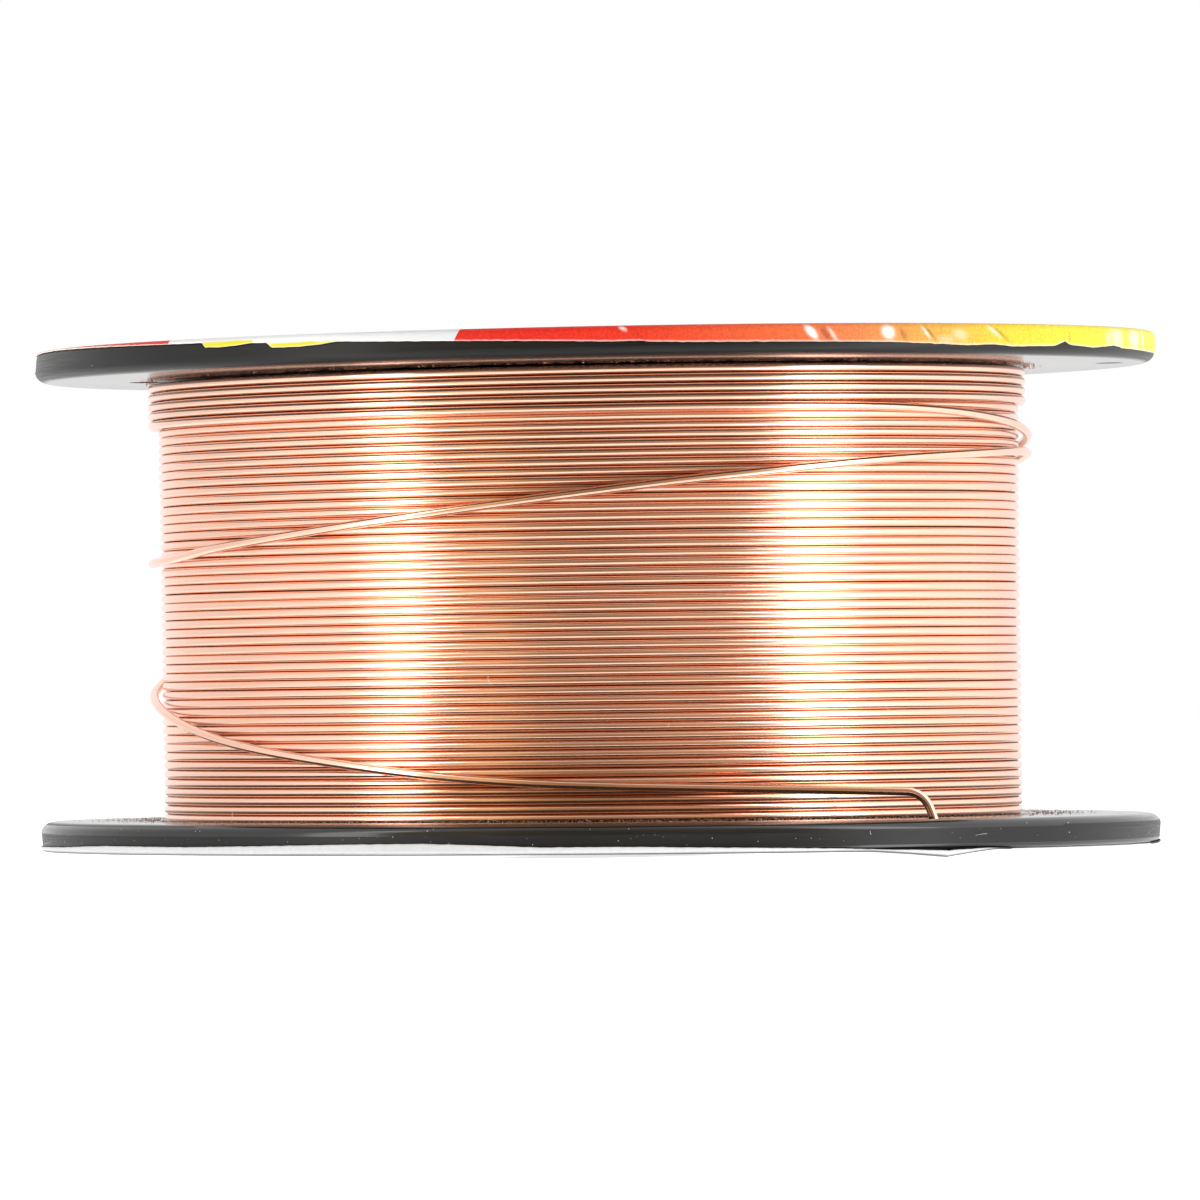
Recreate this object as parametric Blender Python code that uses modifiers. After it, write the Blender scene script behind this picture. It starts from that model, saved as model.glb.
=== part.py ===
"""Welding wire spool, type S100, wound with 0.8 mm copper-coated steel wire.

Metres, +Z up along the spool's axis. The origin is the middle of the lower hub end, which is
the lowest face, so the spool stands on it. The front of the spool is -Y, and angles round the
spool are degrees from the front towards +X.
"""
import math

import bmesh
import bpy
from mathutils import Matrix, Vector

# The moulded spool
SPOOL_WIDTH = 0.045              # from hub end to hub end
FLANGE_DIAMETER = 0.100
FLANGE_THICKNESS = 0.0024
FLANGE_BACKSET = 0.0003          # hub end to flange face: the room for the label
BORE_DIAMETER = 0.0165
HUB_WALL = 0.0020
BARREL_DIAMETER = 0.036
BARREL_WALL = 0.0022
SPIGOT_LENGTH = 0.0020
RIB_COUNT = 6
RIB_THICKNESS = 0.0016
RIB_ROOT = 0.0006                # how far a rib's ends reach into the walls that it joins
RIM_LIP = (0.0013, 0.0009)       # rounding of the rim towards the wire: radial, axial
RIM_EDGE = 0.00025               # rounding of the rim's outer edge
RIM_DRAFT = 0.00010              # how much the rim narrows below its parting line

# The holes that hold the wire's ends, the same in both halves
TAIL_HOLE_DIAMETER = 0.0025
TAIL_HOLE_INSET = 0.0040         # from the rim
SPARE_HOLE_DIAMETER = 0.0034
SPARE_HOLE_INSET = 0.0100
SPARE_HOLE_TURN = 185.0          # degrees from the tail hole
START_HOLE_DIAMETER = 0.0020
START_HOLE_LIFT = 0.0016         # from the barrel
START_GROOVE_LENGTH = 0.0080
LOWER_TAIL_HOLE_ANGLE = 39.3
UPPER_TAIL_HOLE_ANGLE = 85.0

# The wire
WIRE_DIAMETER = 0.00078
UNWOUND_DEPTH = 0.0116           # from the rim down to the full layers of wire
LAST_LAYER_RISE = 0.00070        # the layer that was begun on top of them
LAST_LAYER_TURNS = 5
LAST_LAYER_PITCH = 0.00082
WINDING_END_GAP = 0.0005         # between the outermost turns and the flanges
HOOK_RADIUS = 0.0022
HOOK_TIP_HEIGHT = 0.00060

# The labels
LABEL_THICKNESS = 0.0002
LABEL_RIM_INSET = 0.0007
LABEL_HOLE_CLEARANCE = 0.0005

FIT_GAP = 0.0003                 # between pieces that touch
TURN_STEPS = 64
HOLE_SIDES = 20
CUT_MARGIN = 0.001               # how far a cutter reaches past what it cuts

# The loose end of the wire on its way down the winding: degrees round the spool, and height as
# a share of the way from the lower flange up to the last layer. It passes behind the spool twice.
TAIL_ROUTE = (
    (74, 1.000), (81, 0.985), (95, 0.958), (120, 0.912), (150, 0.866), (180, 0.821),
    (210, 0.771), (235, 0.725), (255, 0.690), (270, 0.676), (283, 0.679), (293, 0.688),
    (301, 0.703), (316, 0.730), (336, 0.773), (361, 0.830), (374, 0.858), (388, 0.883),
    (404, 0.906), (429, 0.926), (443, 0.930), (457, 0.920), (480, 0.874), (510, 0.788),
    (540, 0.693), (570, 0.589), (600, 0.462), (619, 0.369), (630, 0.331), (641, 0.294),
    (652, 0.253), (666, 0.203), (683, 0.156), (699, 0.118), (712, 0.098), (724, 0.088),
)
TAIL_END_SHARE = 0.067           # height where it bends down into its hole
TAIL_STEP = 8.0                  # degrees between the points of the tube

# Sizes that follow from those above
HALF_WIDTH = SPOOL_WIDTH / 2
FLANGE_RADIUS = FLANGE_DIAMETER / 2
FLANGE_INSIDE = FLANGE_BACKSET + FLANGE_THICKNESS
BORE_RADIUS = BORE_DIAMETER / 2
HUB_RADIUS = BORE_RADIUS + HUB_WALL
BARREL_RADIUS = BARREL_DIAMETER / 2
BARREL_INSIDE = BARREL_RADIUS - BARREL_WALL
WIRE_RADIUS = WIRE_DIAMETER / 2
WOUND_RADIUS = FLANGE_RADIUS - UNWOUND_DEPTH
WINDING_BOTTOM = FLANGE_INSIDE + WINDING_END_GAP
WINDING_TOP = SPOOL_WIDTH - WINDING_BOTTOM
LAST_LAYER_BOTTOM = WINDING_TOP - LAST_LAYER_TURNS * LAST_LAYER_PITCH
TAIL_RADIUS = WOUND_RADIUS + FIT_GAP + WIRE_RADIUS
TAIL_SPACE = LAST_LAYER_BOTTOM - FIT_GAP - WIRE_RADIUS - FLANGE_INSIDE
TAIL_HOLE_RADIUS = FLANGE_RADIUS - TAIL_HOLE_INSET
START_HOLE_RADIUS = BARREL_RADIUS + START_HOLE_LIFT
START_GROOVE_DEPTH = WIRE_DIAMETER + 2 * FIT_GAP


def around(radius, degrees, height):
    """The point at a radius and height, some degrees from the front towards +X."""
    angle = math.radians(degrees)
    return Vector((radius * math.sin(angle), -radius * math.cos(angle), height))


def rounded(centre, radii, start, end, steps=4):
    """Points of an ellipse's arc in an outline, with angles in degrees from outwards."""
    points = []
    for step in range(steps + 1):
        angle = math.radians(start + (end - start) * step / steps)
        points.append((centre[0] + radii[0] * math.cos(angle), centre[1] + radii[1] * math.sin(angle)))
    return points


def material(name, colour, roughness, metallic=0.0):
    made = bpy.data.materials.new(name)
    made.use_nodes = True
    made.diffuse_color = (*colour, 1.0)
    shader = made.node_tree.nodes["Principled BSDF"]
    shader.inputs["Base Color"].default_value = (*colour, 1.0)
    shader.inputs["Roughness"].default_value = roughness
    shader.inputs["Metallic"].default_value = metallic
    return made


def new_object(name, mesh, collection):
    made = bpy.data.objects.new(name, mesh)
    collection.objects.link(made)
    return made


def turned(name, outline, collection):
    """A body turned round +Z from (radius, height) points that run down its outer side."""
    shape = bmesh.new()
    corners = [shape.verts.new((radius, 0.0, height)) for radius, height in outline]
    for corner, following in zip(corners, corners[1:] + corners[:1]):
        shape.edges.new((corner, following))
    mesh = bpy.data.meshes.new(name)
    shape.to_mesh(mesh)
    shape.free()
    body = new_object(name, mesh, collection)
    screw = body.modifiers.new("turn", "SCREW")
    screw.axis = "Z"
    screw.angle = math.tau
    screw.steps = TURN_STEPS
    screw.render_steps = TURN_STEPS
    screw.use_merge_vertices = True
    screw.merge_threshold = 0.00001
    return body


def combine(body, operation, other):
    """Adds a live Boolean, and keeps its second shape out of the render."""
    other.hide_render = True
    other.display_type = "WIRE"
    boolean = body.modifiers.new(other.name, "BOOLEAN")
    boolean.operation = operation
    boolean.solver = "EXACT"
    boolean.object = other


def settle(body, smooth_degrees=35.0):
    """Applies the modifiers, and shades the round faces smooth."""
    bpy.context.view_layer.update()
    evaluated = body.evaluated_get(bpy.context.evaluated_depsgraph_get())
    mesh = bpy.data.meshes.new_from_object(evaluated)
    mesh.name = body.name
    body.modifiers.clear()
    body.data = mesh
    mesh.shade_smooth()
    mesh.set_sharp_from_angle(angle=math.radians(smooth_degrees))


def wire(name, points, collection):
    """A length of wire with closed ends."""
    data = bpy.data.curves.new(name, "CURVE")
    data.dimensions = "3D"
    data.bevel_depth = WIRE_RADIUS
    data.bevel_resolution = 2
    data.use_fill_caps = True
    line = data.splines.new("POLY")
    line.points.add(len(points) - 1)
    for slot, point in zip(line.points, points):
        slot.co = (*point, 1.0)
    return new_object(name, data, collection)


def half_outline(has_spigot):
    """One half of the spool, from its outer face at height 0 to the joint at mid-width."""
    joint = HALF_WIDTH - FIT_GAP / 2
    step_radius = BARREL_RADIUS - BARREL_WALL / 2
    if has_spigot:
        step_radius -= FIT_GAP / 2
        inner_end = joint + SPIGOT_LENGTH
    else:
        step_radius += FIT_GAP / 2
        inner_end = joint - SPIGOT_LENGTH - FIT_GAP / 2
    lip_radial, lip_axial = RIM_LIP
    parting = FLANGE_INSIDE - lip_axial
    lip = rounded((FLANGE_RADIUS - lip_radial, parting), RIM_LIP, 90, 0, 6)
    edge_centre = (FLANGE_RADIUS - RIM_DRAFT - RIM_EDGE, FLANGE_BACKSET + RIM_EDGE)
    edge = rounded(edge_centre, (RIM_EDGE, RIM_EDGE), 0, -90)
    return [
        (BARREL_RADIUS, joint),
        (BARREL_RADIUS, FLANGE_INSIDE),
        *lip,
        *edge,
        (HUB_RADIUS, FLANGE_BACKSET),
        (HUB_RADIUS, 0.0),
        (BORE_RADIUS, 0.0),
        (BORE_RADIUS, joint),
        (HUB_RADIUS, joint),
        (HUB_RADIUS, FLANGE_INSIDE),
        (BARREL_INSIDE, FLANGE_INSIDE),
        (BARREL_INSIDE, inner_end),
        (step_radius, inner_end),
        (step_radius, joint),
    ]


def ribs(name, collection):
    """The webs between hub and barrel, as separate plates inside the core."""
    inner = HUB_RADIUS - RIB_ROOT
    outer = BARREL_INSIDE + RIB_ROOT
    foot = FLANGE_INSIDE - RIB_ROOT
    top = HALF_WIDTH - SPIGOT_LENGTH - 2 * FIT_GAP
    shape = bmesh.new()
    for index in range(RIB_COUNT):
        plate = bmesh.ops.create_cube(shape, size=1.0)["verts"]
        bmesh.ops.scale(shape, verts=plate, vec=(outer - inner, RIB_THICKNESS, top - foot))
        bmesh.ops.translate(shape, verts=plate, vec=((outer + inner) / 2, 0.0, (top + foot) / 2))
        turn = Matrix.Rotation(math.tau * (index + 0.5) / RIB_COUNT, 4, "Z")
        bmesh.ops.transform(shape, verts=plate, matrix=turn)
    mesh = bpy.data.meshes.new(name)
    shape.to_mesh(mesh)
    shape.free()
    return new_object(name, mesh, collection)


def drill(shape, diameter, centre):
    """A cutter for a hole through the flange, centred on a point of its outer face."""
    length = FLANGE_INSIDE + 2 * CUT_MARGIN
    made = bmesh.ops.create_cone(shape, cap_ends=True, cap_tris=False, segments=HOLE_SIDES,
                                 radius1=diameter / 2, radius2=diameter / 2, depth=length)
    middle = Vector((0.0, 0.0, FLANGE_INSIDE / 2))
    bmesh.ops.translate(shape, verts=made["verts"], vec=centre + middle)


def wire_holes(name, tail_hole_angle, collection):
    """The holes for the wire's ends in one half."""
    shape = bmesh.new()
    spare_radius = FLANGE_RADIUS - SPARE_HOLE_INSET
    drill(shape, TAIL_HOLE_DIAMETER, around(TAIL_HOLE_RADIUS, tail_hole_angle, 0.0))
    drill(shape, SPARE_HOLE_DIAMETER, around(spare_radius, tail_hole_angle - SPARE_HOLE_TURN, 0.0))
    drill(shape, START_HOLE_DIAMETER, around(START_HOLE_RADIUS, 0.0, 0.0))
    mesh = bpy.data.meshes.new(name)
    shape.to_mesh(mesh)
    shape.free()
    return new_object(name, mesh, collection)


def start_groove(name, collection):
    """The groove in the outer face where the wire's first end is bent over."""
    shape = bmesh.new()
    plate = bmesh.ops.create_cube(shape, size=1.0)["verts"]
    depth = FLANGE_BACKSET + START_GROOVE_DEPTH + CUT_MARGIN
    bmesh.ops.scale(shape, verts=plate, vec=(WIRE_DIAMETER + 2 * FIT_GAP, START_GROOVE_LENGTH, depth))
    bmesh.ops.translate(shape, verts=plate, vec=(0.0, -START_GROOVE_LENGTH / 2, depth / 2 - CUT_MARGIN))
    mesh = bpy.data.meshes.new(name)
    shape.to_mesh(mesh)
    shape.free()
    groove = new_object(name, mesh, collection)
    groove.location = around(START_HOLE_RADIUS, 0.0, 0.0)
    return groove


def spool_half(name, tail_hole_angle, has_spigot, parts, cutters):
    """A flange with half of the barrel and half of the hub, moulded as one piece.

    It is made the way the lower half stands, with its outer face at height 0.
    """
    half = turned(name, half_outline(has_spigot), parts)
    combine(half, "UNION", ribs(name + "_ribs", cutters))
    combine(half, "DIFFERENCE", wire_holes(name + "_holes", tail_hole_angle, cutters))
    combine(half, "DIFFERENCE", start_groove(name + "_groove", cutters))
    return half


def winding_outline():
    """All the wound layers, with the layer that was begun on top of them at the upper end."""
    last_radius = WOUND_RADIUS + LAST_LAYER_RISE
    wire_round = (WIRE_RADIUS, WIRE_RADIUS)
    step = LAST_LAYER_RISE / 2
    return [
        *rounded((last_radius - WIRE_RADIUS, WINDING_TOP - WIRE_RADIUS), wire_round, 90, 0),
        *rounded((last_radius - step, LAST_LAYER_BOTTOM + step), (step, step), 0, -90),
        (WOUND_RADIUS, LAST_LAYER_BOTTOM),
        *rounded((WOUND_RADIUS - WIRE_RADIUS, WINDING_BOTTOM + WIRE_RADIUS), wire_round, 0, -90),
        (BARREL_RADIUS + FIT_GAP, WINDING_BOTTOM),
        (BARREL_RADIUS + FIT_GAP, WINDING_TOP),
    ]


def route_height(degrees):
    """The tail's height at an angle, on one smooth curve through its route's points."""
    slopes = []
    last = len(TAIL_ROUTE) - 1
    for index in range(last + 1):
        before = TAIL_ROUTE[max(index - 1, 0)]
        after = TAIL_ROUTE[min(index + 1, last)]
        slopes.append((after[1] - before[1]) / (after[0] - before[0]))
    index = 0
    while index < last - 1 and degrees > TAIL_ROUTE[index + 1][0]:
        index += 1
    (angle_0, share_0), (angle_1, share_1) = TAIL_ROUTE[index:index + 2]
    span = angle_1 - angle_0
    t = (degrees - angle_0) / span
    share = ((2 * t**3 - 3 * t**2 + 1) * share_0 + (t**3 - 2 * t**2 + t) * span * slopes[index]
             + (3 * t**2 - 2 * t**3) * share_1 + (t**3 - t**2) * span * slopes[index + 1])
    return FLANGE_INSIDE + share * TAIL_SPACE


def tail_points():
    """The tail from the last layer, down round the winding and into its hole in the lower flange."""
    hole_angle = 720.0 + LOWER_TAIL_HOLE_ANGLE
    leave_angle = hole_angle - math.degrees(math.acos(TAIL_RADIUS / TAIL_HOLE_RADIUS))
    first = TAIL_ROUTE[0][0]
    steps = round((TAIL_ROUTE[-1][0] - first) / TAIL_STEP)
    angles = [first + (TAIL_ROUTE[-1][0] - first) * step / steps for step in range(steps + 1)]
    points = [around(TAIL_RADIUS, angle, route_height(angle)) for angle in angles]
    end_height = FLANGE_INSIDE + TAIL_END_SHARE * TAIL_SPACE
    hole = around(TAIL_HOLE_RADIUS, hole_angle, end_height)
    leave = around(TAIL_RADIUS, leave_angle, end_height)
    run = (hole - leave).length
    step = (leave - points[-1]).xy.length
    leave.z += (points[-1].z - end_height) * run / (run + step)
    along = (hole - leave).normalized()
    down = Vector((0.0, 0.0, -1.0))
    points.append(leave)
    centre = hole - along * HOOK_RADIUS + down * HOOK_RADIUS
    for step in range(7):
        turn = math.radians(15.0 * step)
        points.append(centre + along * HOOK_RADIUS * math.sin(turn) - down * HOOK_RADIUS * math.cos(turn))
    points.append(Vector((hole.x, hole.y, HOOK_TIP_HEIGHT)))
    return points


def start_points():
    """The wire's first end: down through its hole by the barrel, and bent over in the groove."""
    groove_height = FLANGE_BACKSET + START_GROOVE_DEPTH / 2
    bend = WIRE_DIAMETER * 0.7
    points = [around(START_HOLE_RADIUS, 0.0, FLANGE_INSIDE)]
    for step in range(5):
        turn = math.radians(22.5 * step)
        points.append(around(START_HOLE_RADIUS + bend * (1 - math.cos(turn)), 0.0,
                             groove_height + bend * (1 - math.sin(turn))))
    points.append(around(START_HOLE_RADIUS + START_GROOVE_LENGTH - FIT_GAP - WIRE_RADIUS, 0.0, groove_height))
    return points


def label_outline(bottom):
    """A thin disc with a hole round the hub end."""
    outer = FLANGE_RADIUS - LABEL_RIM_INSET
    inner = HUB_RADIUS + LABEL_HOLE_CLEARANCE
    top = bottom + LABEL_THICKNESS
    return [(outer, top), (outer, bottom), (inner, bottom), (inner, top)]


def main():
    for old in list(bpy.data.objects):
        bpy.data.objects.remove(old, do_unlink=True)
    parts = bpy.data.collections.new("wire_spool")
    cutters = bpy.data.collections.new("cutters")
    bpy.context.scene.collection.children.link(parts)
    bpy.context.scene.collection.children.link(cutters)

    black = material("black_moulded_plastic", (0.025, 0.024, 0.025), 0.42)
    copper = material("copper_coated_steel_wire", (0.66, 0.30, 0.17), 0.28, 1.0)
    printed = material("printed_label", (0.86, 0.16, 0.05), 0.45)
    plain = material("plain_paper_label", (0.80, 0.80, 0.78), 0.60)

    lower = spool_half("lower_spool_half", LOWER_TAIL_HOLE_ANGLE, True, parts, cutters)
    # The upper half is turned over, so its angles count the other way round from the back.
    upper = spool_half("upper_spool_half", 180.0 - UPPER_TAIL_HOLE_ANGLE, False, parts, cutters)
    windings = turned("wire_windings", winding_outline(), parts)
    lower_label = turned("lower_label", label_outline(0.0), parts)
    upper_label = turned("upper_label", label_outline(SPOOL_WIDTH - LABEL_THICKNESS), parts)
    for body in (lower, upper, windings, lower_label, upper_label):
        settle(body)
    upper.rotation_euler = (math.pi, 0.0, 0.0)
    upper.location = (0.0, 0.0, SPOOL_WIDTH)

    tail = wire("wire_tail", tail_points(), parts)
    start = wire("wire_start", start_points(), parts)

    axis = bpy.data.objects.new("spool_axis", None)
    axis.empty_display_size = SPOOL_WIDTH
    parts.objects.link(axis)
    finishes = (
        (lower, black), (upper, black), (windings, copper), (tail, copper), (start, copper),
        (upper_label, printed), (lower_label, plain),
    )
    for body, finish in finishes:
        body.data.materials.clear()
        body.data.materials.append(finish)
        body.parent = axis


main()
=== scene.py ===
import math
import random

import bmesh
import bpy
from mathutils import Euler, Matrix, Vector, noise


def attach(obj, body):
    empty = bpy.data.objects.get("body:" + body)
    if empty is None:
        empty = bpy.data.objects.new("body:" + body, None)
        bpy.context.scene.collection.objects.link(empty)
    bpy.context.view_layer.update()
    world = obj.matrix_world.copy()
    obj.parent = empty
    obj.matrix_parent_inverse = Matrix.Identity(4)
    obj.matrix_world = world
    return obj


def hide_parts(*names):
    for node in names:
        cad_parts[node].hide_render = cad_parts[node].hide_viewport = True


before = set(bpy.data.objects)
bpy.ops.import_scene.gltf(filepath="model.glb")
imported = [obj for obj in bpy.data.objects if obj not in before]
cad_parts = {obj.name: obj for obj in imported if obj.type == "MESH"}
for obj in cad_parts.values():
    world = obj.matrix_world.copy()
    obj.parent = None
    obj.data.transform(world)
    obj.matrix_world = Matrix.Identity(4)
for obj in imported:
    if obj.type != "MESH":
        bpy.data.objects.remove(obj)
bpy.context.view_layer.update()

# Sizes are in millimetres and angles in degrees, and this turns them to metres.
# Angles round the spool start at the front, -Y, and grow towards +X.
mm = 0.001
spoolWidth = 45.0
world = bpy.context.scene


def linearColour(hexColour):
    parts = [int(hexColour[index:index + 2], 16) / 255 for index in (1, 3, 5)]
    return (*[p / 12.92 if p <= 0.04045 else ((p + 0.055) / 1.055) ** 2.4 for p in parts], 1.0)


def addNode(tree, kind, inputs=None, **settings):
    # an input is a value, a socket, or a node whose first output is meant
    node = tree.nodes.new(kind)
    for name, value in settings.items():
        setattr(node, name, value)
    for name, value in (inputs or {}).items():
        if isinstance(value, bpy.types.Node):
            value = value.outputs[0]
        if isinstance(value, bpy.types.NodeSocket):
            tree.links.new(value, node.inputs[name])
        else:
            node.inputs[name].default_value = value
    return node


def setStops(rampNode, stops):
    elements = rampNode.color_ramp.elements
    while len(elements) < len(stops):
        elements.new(1.0)
    for element, (position, hexColour) in zip(elements, stops):
        element.position = position
        element.color = linearColour(hexColour)


def newMaterial(name):
    material = bpy.data.materials.new(name)
    material.use_nodes = True
    material.node_tree.nodes.clear()
    return material, material.node_tree


def angleRound(tree, place):
    # the height, and the angle round the axis from the front in radians
    parts = addNode(tree, "ShaderNodeSeparateXYZ", {0: place})
    flip = addNode(tree, "ShaderNodeMath", {0: parts.outputs[1], 1: -1.0}, operation="MULTIPLY")
    angle = addNode(tree, "ShaderNodeMath", {0: parts, 1: flip}, operation="ARCTAN2")
    return parts.outputs[2], angle


def coloursRound(tree, angle, stops):
    share = addNode(tree, "ShaderNodeMapRange", {"Value": angle, "From Min": -math.pi, "From Max": math.pi})
    ramp = addNode(tree, "ShaderNodeValToRGB", {0: share})
    setStops(ramp, [((degrees + 180) / 360, colour) for degrees, colour in stops])
    return ramp


def around(radius, degrees, height, sideways=0.0):
    angle = math.radians(degrees)
    return Vector((sideways + radius * math.sin(angle), -radius * math.cos(angle), height))


def smooth(value):
    value = min(max(value, 0.0), 1.0)
    return value * value * (3 - 2 * value)


def readTable(table, position):
    if position <= table[0][0]:
        return table[0][1]
    for (start, low), (end, high) in zip(table, table[1:]):
        if position <= end:
            return low + (high - low) * (position - start) / (end - start)
    return table[-1][1]


def readCurve(table, position):
    # one smooth curve through the table's points
    last = len(table) - 1
    slopes = []
    for index in range(last + 1):
        before = table[max(index - 1, 0)]
        after = table[min(index + 1, last)]
        slopes.append((after[1] - before[1]) / (after[0] - before[0]))
    index = 0
    while index < last - 1 and position > table[index + 1][0]:
        index += 1
    (start, low), (end, high) = table[index:index + 2]
    span = end - start
    t = (position - start) / span
    return ((2 * t**3 - 3 * t**2 + 1) * low + (t**3 - 2 * t**2 + t) * span * slopes[index]
            + (3 * t**2 - 2 * t**3) * high + (t**3 - t**2) * span * slopes[index + 1])


# The two flanges stand very slightly open towards +X, and everything between them follows.
flangeLean = {"openPerMillimetre": 0.000262}


def leanHeight(x, height):
    middle = spoolWidth / 2
    return middle + (height - middle) * (1 + flangeLean["openPerMillimetre"] * x)


def placePiece(name, mesh, material):
    # meshes are made in millimetres and placed in metres
    for vertex in mesh.vertices:
        x, y, z = vertex.co
        vertex.co = (x * mm, y * mm, leanHeight(x, z) * mm)
    mesh.materials.append(material)
    piece = bpy.data.objects.new(name, mesh)
    world.collection.objects.link(piece)
    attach(piece, "root")
    return piece


def meshOf(name, shape, sharpAngle=None):
    mesh = bpy.data.meshes.new(name)
    shape.to_mesh(mesh)
    shape.free()
    mesh.shade_smooth()
    if sharpAngle:
        mesh.set_sharp_from_angle(angle=math.radians(sharpAngle))
    return mesh


def spinOutline(outline, steps):
    # an outline of radii and heights, turned round the axis
    shape = bmesh.new()
    corners = [shape.verts.new((radius, 0.0, height)) for radius, height in outline]
    edges = [shape.edges.new(pair) for pair in zip(corners, corners[1:] + corners[:1])]
    bmesh.ops.spin(shape, geom=corners + edges, cent=(0, 0, 0), axis=(0, 0, 1), dvec=(0, 0, 0),
                   angle=2 * math.pi, steps=steps, use_merge=True, use_duplicate=False)
    return shape


def tubeMesh(name, points, diameter, twist="Z_UP", resolution=4):
    # a wire along points, with a map of turn round it (0 to 1) and millimetres along it
    curve = bpy.data.curves.new(name, "CURVE")
    curve.dimensions = "3D"
    curve.bevel_depth = diameter / 2
    curve.bevel_resolution = resolution
    curve.use_fill_caps = True
    curve.twist_mode = twist
    spline = curve.splines.new("POLY")
    spline.points.add(len(points) - 1)
    length = 0.0
    for index, point in enumerate(points):
        spline.points[index].co = (*point, 1.0)
        if index:
            length += (points[index] - points[index - 1]).length
    holder = bpy.data.objects.new(name, curve)
    world.collection.objects.link(holder)
    ready = holder.evaluated_get(bpy.context.evaluated_depsgraph_get())
    mesh = bpy.data.meshes.new_from_object(ready)
    bpy.data.objects.remove(holder)
    bpy.data.curves.remove(curve)
    mesh.name = name
    for corner in mesh.uv_layers[0].data:
        corner.uv = (corner.uv[0], corner.uv[1] * length)
    mesh.shade_smooth()
    return mesh


cameraPlace = {
    "distance": 1000.0,
    "height": 14.39,
    "lens": 335.3,
    "yaw": -0.010,
    "pitch": 0.440,
    "roll": -0.789,
}
cameraData = bpy.data.cameras.new("camera")
cameraData.lens = cameraPlace["lens"]
cameraData.sensor_width = 36.0
cameraData.clip_end = 20.0
camera = bpy.data.objects.new("camera", cameraData)
camera.matrix_world = (
    Matrix.Translation((0.0, -cameraPlace["distance"] * mm, cameraPlace["height"] * mm))
    @ Matrix.Rotation(math.radians(cameraPlace["yaw"]), 4, "Z")
    @ Matrix.Rotation(math.radians(90 + cameraPlace["pitch"]), 4, "X")
    @ Matrix.Rotation(math.radians(cameraPlace["roll"]), 4, "Z")
)
world.collection.objects.link(camera)
world.camera = camera
print("camera placed")


# Copper-coated steel: wet drawn, so fine lines run along it, and the thin copper is bright
# orange where turns mirror each other and pale where the light strikes it.
wireFinish = {
    "copper": "#FBCCB5",
    "tarnish": "#EBAA86",
    "roughness": 0.17,
    "wireRadius": 0.39,
    "drawnLineWidth": 0.07,      # the real ones are finer than this
    "drawnLineLength": 14.0,
    "lineDepth": 0.0006,
    "patchLength": 9.0,
}


def makeWireMaterial(name):
    material, tree = newMaterial(name)
    surfaceMap = addNode(tree, "ShaderNodeUVMap", uv_map="UVMap")
    parts = addNode(tree, "ShaderNodeSeparateXYZ", {0: surfaceMap})
    turn = addNode(tree, "ShaderNodeMath", {0: parts, 1: 2 * math.pi}, operation="MULTIPLY")
    across = addNode(tree, "ShaderNodeMath", {0: turn}, operation="COSINE")
    over = addNode(tree, "ShaderNodeMath", {0: turn}, operation="SINE")
    lineCount = wireFinish["wireRadius"] / wireFinish["drawnLineWidth"]
    along = addNode(tree, "ShaderNodeMath",
        {0: parts.outputs[1], 1: 1 / (wireFinish["drawnLineLength"] * lineCount)}, operation="MULTIPLY")
    place = addNode(tree, "ShaderNodeCombineXYZ", {0: across, 1: over, 2: along})
    drawnLines = addNode(tree, "ShaderNodeTexNoise",
        {"Vector": place, "Scale": lineCount, "Detail": 2.0, "Roughness": 0.6})
    patchPlace = addNode(tree, "ShaderNodeMath",
        {0: parts.outputs[1], 1: 1 / wireFinish["patchLength"]}, operation="MULTIPLY")
    patches = addNode(tree, "ShaderNodeTexNoise",
        {"W": patchPlace, "Scale": 1.0, "Detail": 3.0}, noise_dimensions="1D")
    tone = addNode(tree, "ShaderNodeMapRange",
        {"Value": patches, "From Min": 0.45, "From Max": 0.8, "To Max": 0.45})
    colour = addNode(tree, "ShaderNodeMix",
        {0: tone, 6: linearColour(wireFinish["copper"]), 7: linearColour(wireFinish["tarnish"])},
        data_type="RGBA")
    rough = addNode(tree, "ShaderNodeMapRange",
        {"Value": drawnLines, "From Min": 0.3, "From Max": 0.7, "To Min": wireFinish["roughness"] - 0.03,
         "To Max": wireFinish["roughness"] + 0.04})
    bump = addNode(tree, "ShaderNodeBump",
        {"Height": drawnLines, "Strength": 1.0, "Distance": wireFinish["lineDepth"] * mm})
    surface = addNode(tree, "ShaderNodeBsdfPrincipled",
        {"Base Color": colour.outputs[2], "Metallic": 1.0, "Roughness": rough, "Normal": bump})
    addNode(tree, "ShaderNodeOutputMaterial", {0: surface})
    return material


copperCoatedSteel = makeWireMaterial("copperCoatedSteelDrawn")

coil = {
    "sideways": -0.65,           # the coil sits a little off the flanges' axis
    "lastSideways": -0.78,
    "wire": 0.78,
    "turns": 49,
    "lowest": 3.06,
    "pitch": 0.787,
    "radius": 38.0,
    "tilt": 0.00185,             # the turns lie a little lower on the left
    "tiltedFrom": 27.0,          # to the right of the axis, where the tilt lifts nothing
    "swellFrom": 25,             # turns from the bottom, where the coil starts to get thicker
    "swell": 0.1,
    "stepShare": 0.22,           # of a turn, behind, where it climbs to the next
    "pointsPerTurn": 128,
    "unevenHeight": 0.022,
    "unevenRadius": 0.020,
    "lastRadius": 38.85,
    "lastHeights": [41.68, 40.85, 40.03, 39.22, 38.38],
}

# The fifth turn of the last layer runs off into the loose tail: degrees and height
leadRoute = [
    (-150, 38.38), (0, 38.38), (21, 38.38), (34, 38.33), (44, 38.22), (53, 37.97), (60, 37.69),
    (65, 37.45), (74, 37.01),
]

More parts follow.
